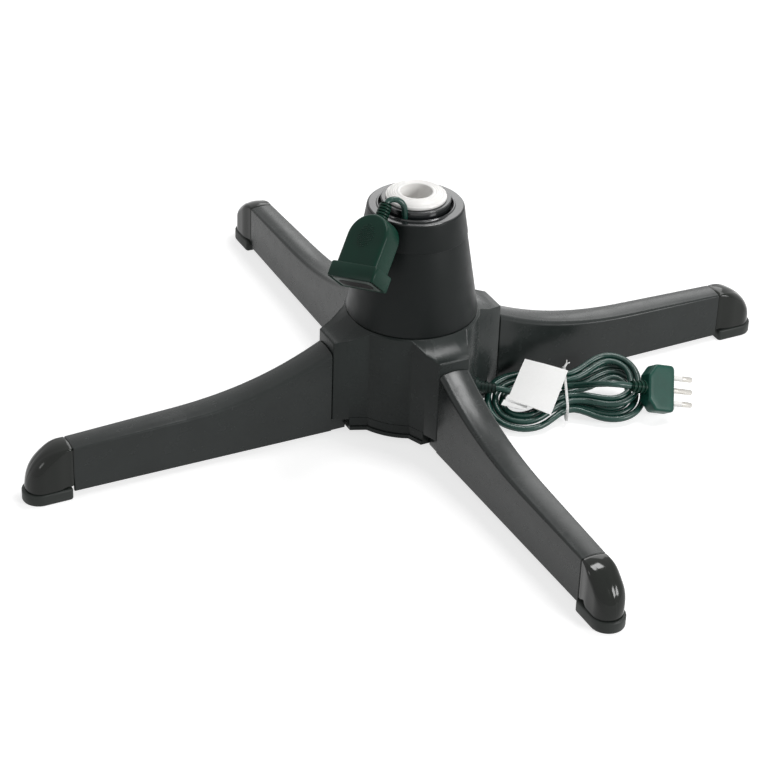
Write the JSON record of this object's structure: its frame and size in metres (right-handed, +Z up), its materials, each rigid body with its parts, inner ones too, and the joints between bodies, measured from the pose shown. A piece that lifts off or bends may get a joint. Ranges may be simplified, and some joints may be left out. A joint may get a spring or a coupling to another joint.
{
  "type": "rotating christmas tree stand",
  "caption": "Motor-driven rotating stand for a small artificial tree: low legs on a round hub, a turning cone with a pole hole and a trailing socket, and a tied mains cord.",
  "frame": {"origin": "On the rotor axis at floor level, which is the middle of the four feet", "axes": "+Z up along the rotor axis, -Y to the leg nearest the viewer, the four legs along -X, -Y, +X and +Y, the tied cord between the legs along -Y and +X"},
  "size_m": [0.6, 0.6, 0.1881],
  "materials": {
    "shell": "satin moulded plastic, very dark green-black",
    "cap_gloss": "glossy moulded plastic, near black",
    "pad": "matte rubber-like plastic, near black",
    "rotor_shell": "matte moulded plastic, very dark green-black",
    "acetal": "plain moulded acetal",
    "steel": "plain or zinc-plated steel",
    "dark_resin": "moulded resin",
    "brass": "bare brass",
    "tinned_brass": "nickel-plated brass",
    "light_resin": "moulded nylon",
    "white_plastic": "smooth moulded plastic, off-white",
    "paper": "bare white card",
    "pale_resin": "moulded resin, pale grey-green",
    "black_rubber": "soft moulded PVC",
    "cord_green": "flexible PVC, deep green, slight sheen"
  },
  "bodies": {
    "base": {"hub_shell": "shell", "base_plate": "shell", "leg_a": "shell", "leg_b": "shell", "leg_c": "shell", "leg_d": "shell", "end_cap_a": "cap_gloss", "end_cap_b": "cap_gloss", "end_cap_c": "cap_gloss", "end_cap_d": "cap_gloss", "foot_pad_a": "pad", "foot_pad_b": "pad", "foot_pad_c": "pad", "foot_pad_d": "pad", "upper_bush": "acetal", "lower_race": "steel", "motor_can": "steel", "motor_gearbox": "steel", "brush_holder": "dark_resin", "brushes": "dark_resin", "brush_springs": "steel", "terminal_block": "light_resin", "cord_clamp": "light_resin", "cord_gland": "black_rubber", "cord_relief": "black_rubber", "supply_lead": "cord_green", "supply_hank": "cord_green", "supply_tail": "cord_green", "cable_tie": "white_plastic", "cord_tag": "paper", "plug_body": "cord_green", "plug_pins": "tinned_brass", "plug_sleeves": "white_plastic", "plug_relief": "cord_green", "base_screws": "steel", "leg_screws": "steel", "motor_screws": "steel"},
    "rotor": {"upper_race": "steel", "turntable": "steel", "cone_shell": "rotor_shell", "rotor_cap": "rotor_shell", "pole_sleeve": "steel", "drive_gear": "acetal", "slip_drum": "dark_resin", "slip_rings": "brass", "rotor_screws": "steel", "socket_body": "cord_green", "socket_face": "pale_resin", "socket_contacts": "brass", "pigtail_relief": "cord_green", "pigtail": "cord_green"},
    "bearing": {"bearing_balls": "steel", "ball_cage": "acetal"},
    "pinion": {"motor_shaft": "steel", "drive_pinion": "acetal"},
    "insert": {"pole_insert": "white_plastic"}
  },
  "joints": [
    {"name": "rotor_spin", "type": "hinge", "parent": "base", "child": "rotor", "pos_m": [0, 0, 0.09], "axis": [0, 0, 1], "continuous": true},
    {"name": "bearing_spin", "type": "hinge", "parent": "base", "child": "bearing", "pos_m": [0, 0, 0.088], "axis": [0, 0, 1], "continuous": true},
    {"name": "pinion_spin", "type": "hinge", "parent": "base", "child": "pinion", "pos_m": [-0.02263, 0.02263, 0.054], "axis": [0, 0, 1], "continuous": true},
    {"name": "insert_lift", "type": "slide", "parent": "rotor", "child": "insert", "axis": [0, 0, 1], "range_m": [0, 0.06]}
  ],
  "couplings": [
    {"joint": "bearing_spin", "follows": "rotor_spin", "ratio": 0.5},
    {"joint": "pinion_spin", "follows": "rotor_spin", "ratio": -3}
  ]
}
